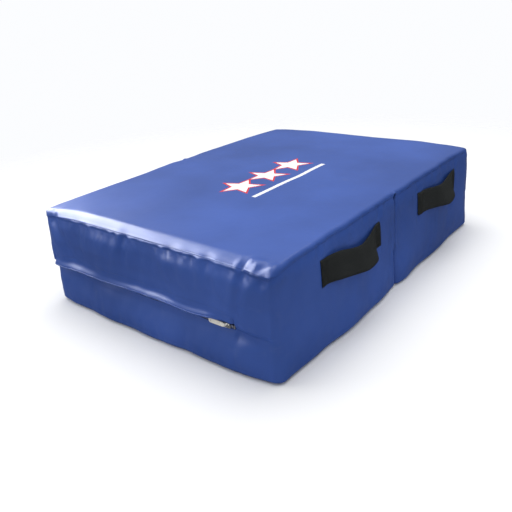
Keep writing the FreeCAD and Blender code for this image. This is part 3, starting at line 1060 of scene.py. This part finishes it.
def sew_handles(straps):
    """A box with a cross in it on each sewn end."""
    pitch = 0.0046
    for strap, end_y, inward, on_left in straps:
        side = -1 if on_left else 1
        y0, y1 = end_y + 0.005 * inward, end_y + 0.026 * inward
        z0, z1 = 0.200, 0.262
        corners = [(y0, z0), (y1, z0), (y1, z1), (y0, z1), (y0, z0), (y1, z1), (y1, z0), (y0, z1)]
        starts = []
        for (ya, za), (yb, zb) in zip(corners, corners[1:]):
            count = max(2, int(math.hypot(yb - ya, zb - za) / pitch))
            for t in np.arange(count) / count:
                y, z = ya + (yb - ya) * t, za + (zb - za) * t
                starts.append((side * (HALF_WIDTH + 0.1), y * side, z))
        half = "near" if starts[0][1] < 0 else "far"
        lay_stitches("stitches_" + strap.name, strap, starts, (-side, 0, 0), pitch, BLACK_THREAD,
                     half + "_half")


# ======================================================================== camera, floor and light
def make_camera():
    data = bpy.data.cameras.new("camera")
    data.lens = 40.7
    data.sensor_width = 36.0
    data.shift_x, data.shift_y = -0.0601, -0.0637
    camera = bpy.data.objects.new("camera", data)
    turn = Matrix.Rotation(math.radians(37.975), 4, "Z") @ Matrix.Rotation(math.radians(68.395), 4, "X")
    turn = turn @ Matrix.Rotation(math.radians(-3.89), 4, "Z")
    camera.matrix_world = Matrix.Translation((1.2077, -1.5076, 0.8961)) @ turn
    bpy.context.scene.collection.objects.link(camera)
    bpy.context.scene.camera = camera


def soft_light(name, at, towards, size, power, tint=(1, 1, 1)):
    data = bpy.data.lights.new(name, "AREA")
    data.shape = "RECTANGLE"
    data.size, data.size_y = size
    data.energy = power
    data.color = tint
    lamp = bpy.data.objects.new(name, data)
    lamp.location = at
    lamp.rotation_euler = (Vector(towards) - Vector(at)).to_track_quat("-Z", "Y").to_euler()
    bpy.context.scene.collection.objects.link(lamp)
    return lamp


def make_studio():
    reach = 30.0
    corners = [(-reach, -reach, 0), (reach, -reach, 0), (reach, reach, 0), (-reach, reach, 0)]
    s = Shader("studio_floor", Roughness=0.9, Specular_IOR_Level=0.1)
    tone = s.mix(s.noise(s.place(), 2.0), colour(0.88, 0.88, 0.88), colour(0.90, 0.90, 0.90))
    x, y, _ = s.parts(s.place())
    away = s.math("SQRT", x * x + y * y)
    paint = s.feed(Base_Color=tone, Alpha=s.ramp(away, 2.6, 1.4))
    floor = new_object("studio_floor", corners, [(0, 1, 2, 3)], paint)
    floor.visible_glossy = False
    make_world()
    bpy.context.scene.view_settings.view_transform = "Standard"
    middle = (0, -0.2, 0.2)
    gloss = soft_light("softbox_left", (-2.9, -1.35, 2.25), middle, (5.0, 1.9), 540)
    gloss.visible_diffuse = False
    soft_light("overhead", (-0.3, 0.3, 3.4), middle, (3.0, 3.0), 78)
    fill = soft_light("fill_left", (-2.6, -2.4, 1.4), middle, (1.4, 1.4), 15)
    fill.visible_glossy = False


def make_world():
    """A studio that is bright overhead and dim near the horizon, before a white backdrop."""
    world = bpy.data.worlds.new("studio")
    world.use_nodes = True
    tree = world.node_tree
    back = tree.nodes["Background"]
    split = tree.nodes.new("ShaderNodeSeparateXYZ")
    tree.links.new(tree.nodes.new("ShaderNodeTexCoord").outputs["Generated"], split.inputs[0])
    rise = tree.nodes.new("ShaderNodeMapRange")
    rise.interpolation_type = "SMOOTHSTEP"
    for socket, value in (("From Min", -0.05), ("From Max", 0.9), ("To Min", 0.10), ("To Max", 1.02)):
        rise.inputs[socket].default_value = value
    tree.links.new(split.outputs["Z"], rise.inputs["Value"])
    seen = tree.nodes.new("ShaderNodeMix")
    tree.links.new(tree.nodes.new("ShaderNodeLightPath").outputs["Is Camera Ray"], seen.inputs[0])
    tree.links.new(rise.outputs[0], seen.inputs[2])
    seen.inputs[3].default_value = 1.0
    tree.links.new(seen.outputs[0], back.inputs["Strength"])
    back.inputs["Color"].default_value = (0.97, 0.98, 1.0, 1)
    bpy.context.scene.world = world


# ======================================================================== making
make_camera()
make_studio()
FILLING = simulate_filling()
sew_top_seams(make_top_cover())
for which in ("near", "far"):
    make_cover_half(which)
    make_flap(which)
    make_tapes(which)
    make_teeth(which)
finish_zip_metal()
make_handles()
